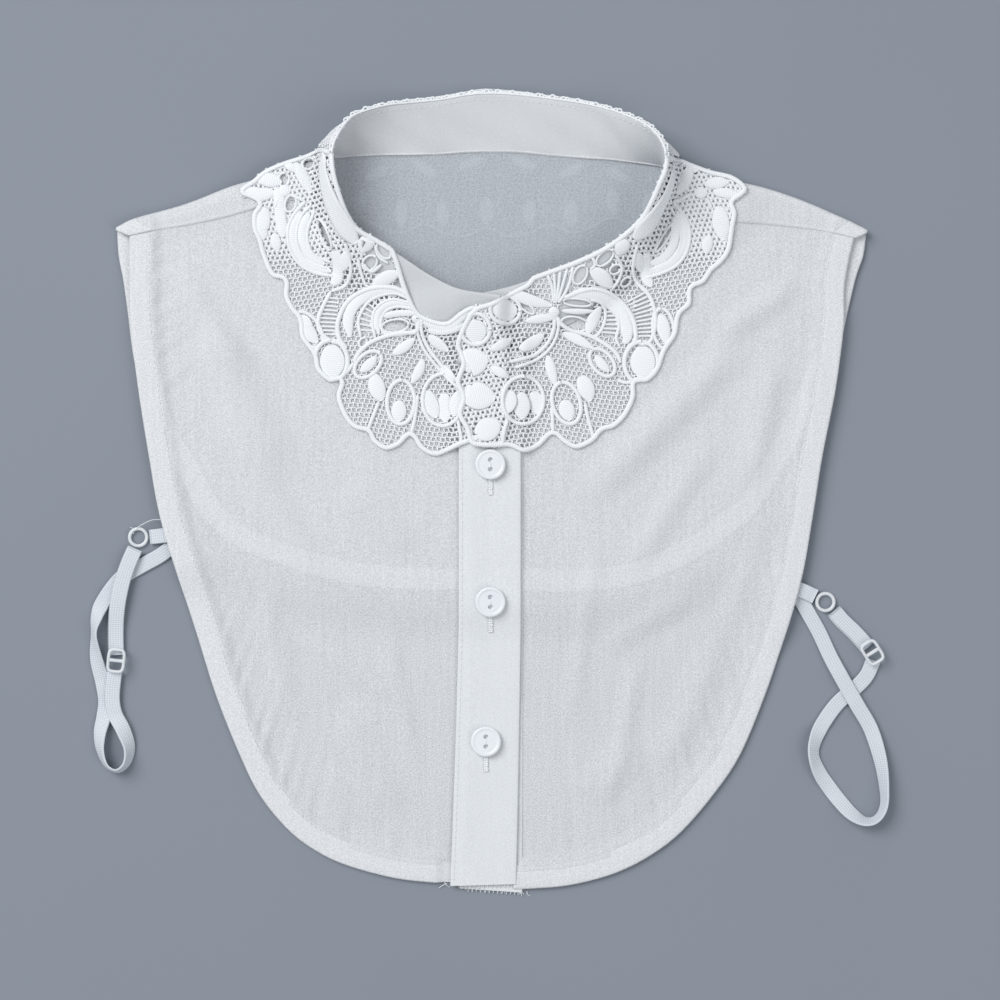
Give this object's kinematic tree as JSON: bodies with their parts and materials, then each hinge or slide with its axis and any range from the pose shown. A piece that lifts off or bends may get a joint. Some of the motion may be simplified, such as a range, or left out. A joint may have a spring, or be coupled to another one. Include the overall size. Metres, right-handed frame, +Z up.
{
  "type": "detachable lace collar",
  "caption": "Detachable stand collar of chiffon with guipure lace, a buttoned bib front, a shorter back and elastic side straps, laid flat with its front up.",
  "frame": {"origin": "on the surface the collar lies on, under the middle of its outline", "axes": "+Z up from that surface, +Y from the hem towards the back of the neck, +X towards the free edge of the placket's lap"},
  "size_m": [0.3354, 0.3376, 0.0271],
  "materials": {
    "chiffon": "single layer of white crepe chiffon, matt and see-through",
    "chiffon_facing": "folded layers of white crepe chiffon, matt",
    "chiffon_doubled": "doubled white crepe chiffon, matt",
    "guipure_lace": "embroidered white polyester yarn, matt with a soft lustre",
    "elastic": "white knitted elastic, matt",
    "button_resin": "moulded white polyester resin, satin",
    "clear_nylon": "moulded translucent nylon, glossy"
  },
  "bodies": {
    "root": {"back": "chiffon", "front_left": "chiffon", "front_right": "chiffon", "facing_back": "chiffon_facing", "facing_left": "chiffon_facing", "facing_right": "chiffon_facing", "placket_under": "chiffon", "placket_top": "chiffon_facing", "neck_band": "chiffon_doubled", "lace_left": "guipure_lace", "lace_right": "guipure_lace", "lace_back": "guipure_lace", "button_1": "button_resin", "button_2": "button_resin", "button_3": "button_resin", "tab_left": "elastic", "ring_left": "clear_nylon", "strap_short_left": "elastic", "slider_left": "clear_nylon", "strap_loop_left": "elastic", "tab_right": "elastic", "ring_right": "clear_nylon", "strap_short_right": "elastic", "slider_right": "clear_nylon", "strap_loop_right": "elastic"}
  },
  "joints": []
}
